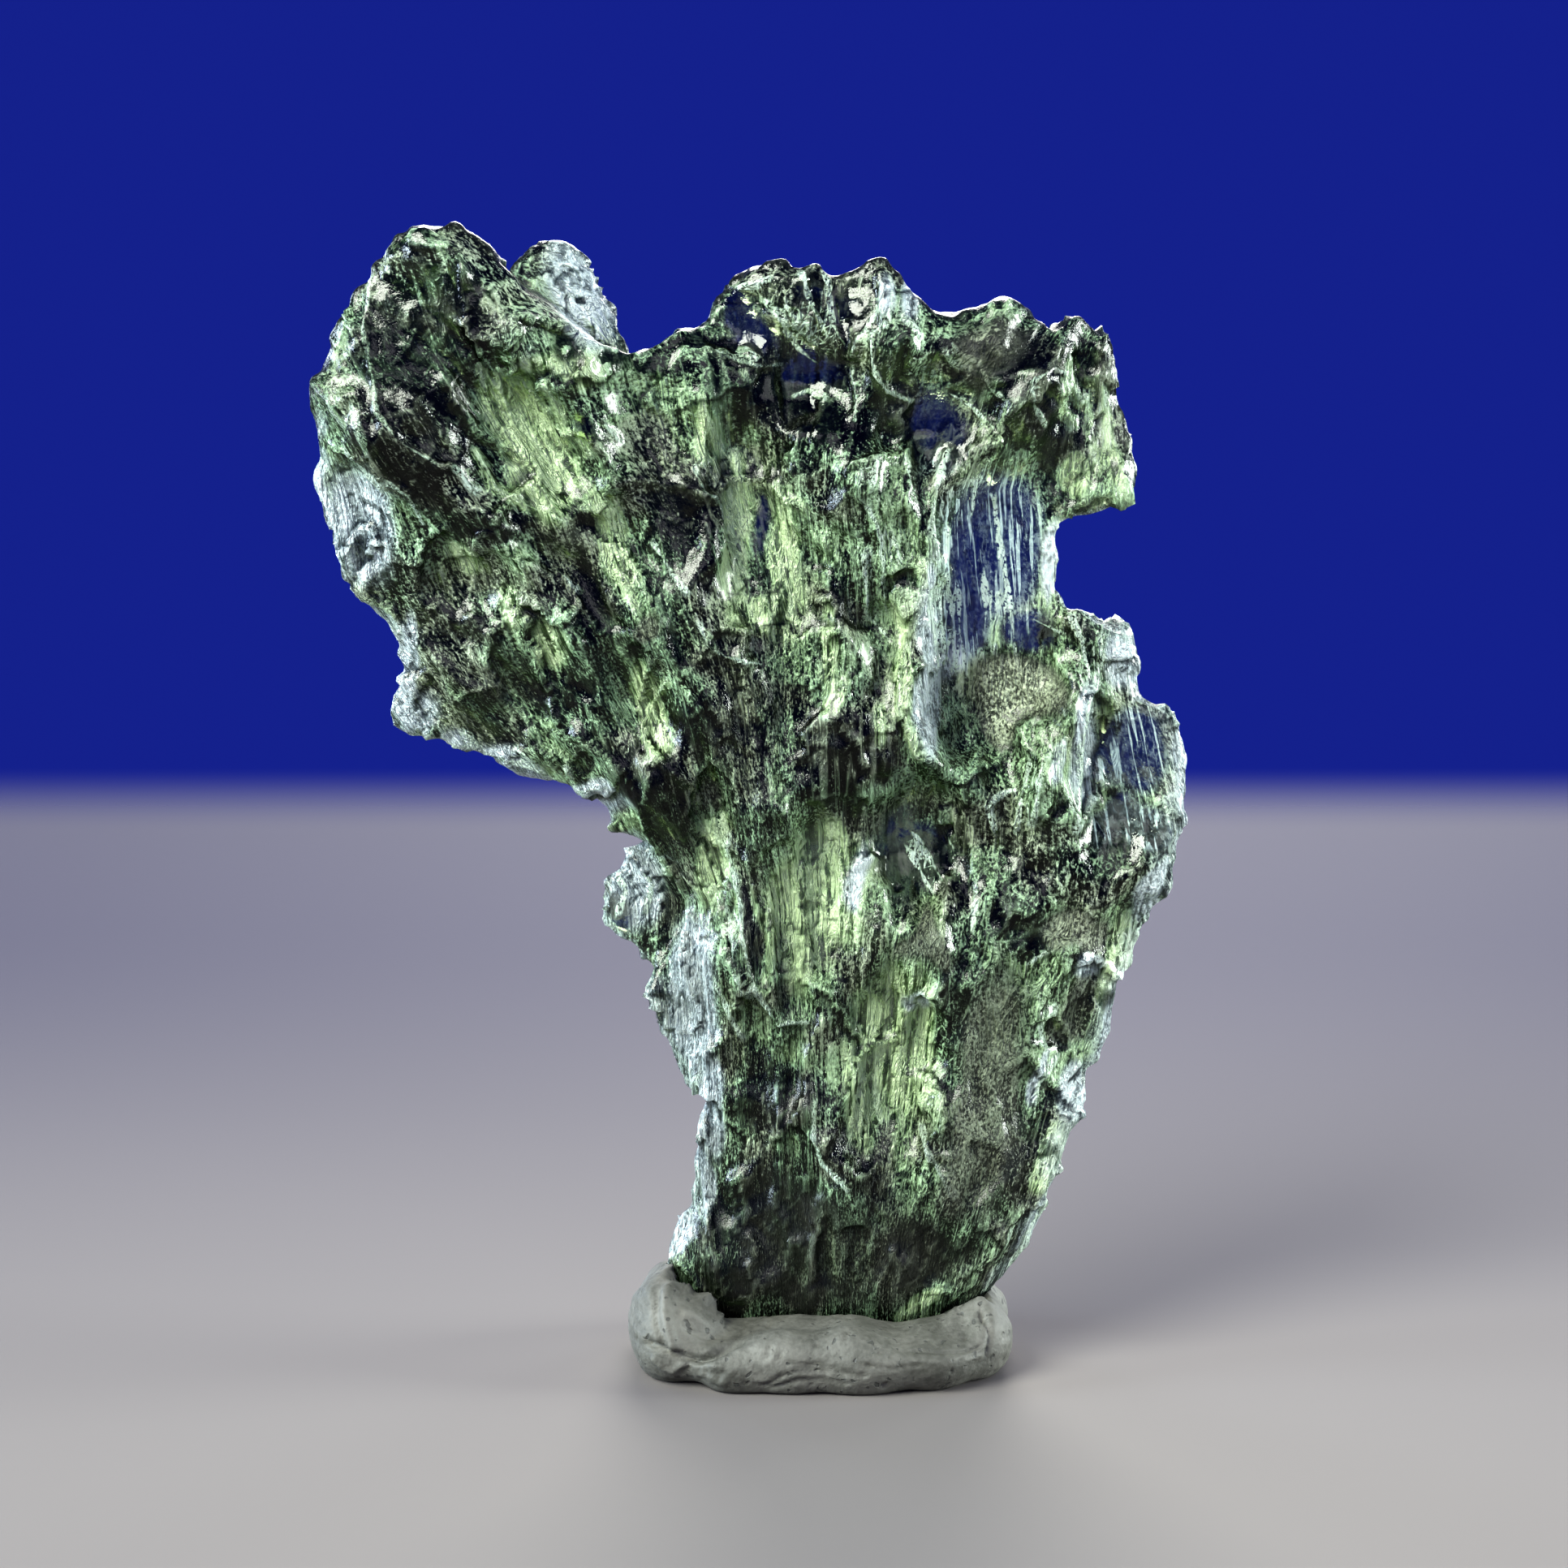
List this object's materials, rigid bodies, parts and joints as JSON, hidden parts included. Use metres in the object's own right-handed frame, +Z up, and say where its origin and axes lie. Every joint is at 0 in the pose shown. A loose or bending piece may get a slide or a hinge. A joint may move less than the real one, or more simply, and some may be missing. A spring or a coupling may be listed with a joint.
{
  "type": "moldavite specimen",
  "caption": "Leaf-shaped piece of natural green glass with a torn outline and etched faces, standing in a small foot of kneaded grey putty.",
  "frame": {"origin": "middle of the bounding box, at the level the putty's flat underside rests on", "axes": "+Z up, along the leaf's height; +Y away from the pictured front, across the leaf's thickness; +X to the right as the front is seen"},
  "size_m": [0.0284, 0.0084, 0.0378],
  "materials": {
    "green_glass": "natural bottle-green glass with acid-etched, finely striated faces, clear where it is thin",
    "grey_putty": "matt kneaded grey putty with finger-rolled wrinkles"
  },
  "bodies": {
    "root": {"moldavite": "green_glass", "putty_foot": "grey_putty"}
  },
  "joints": []
}
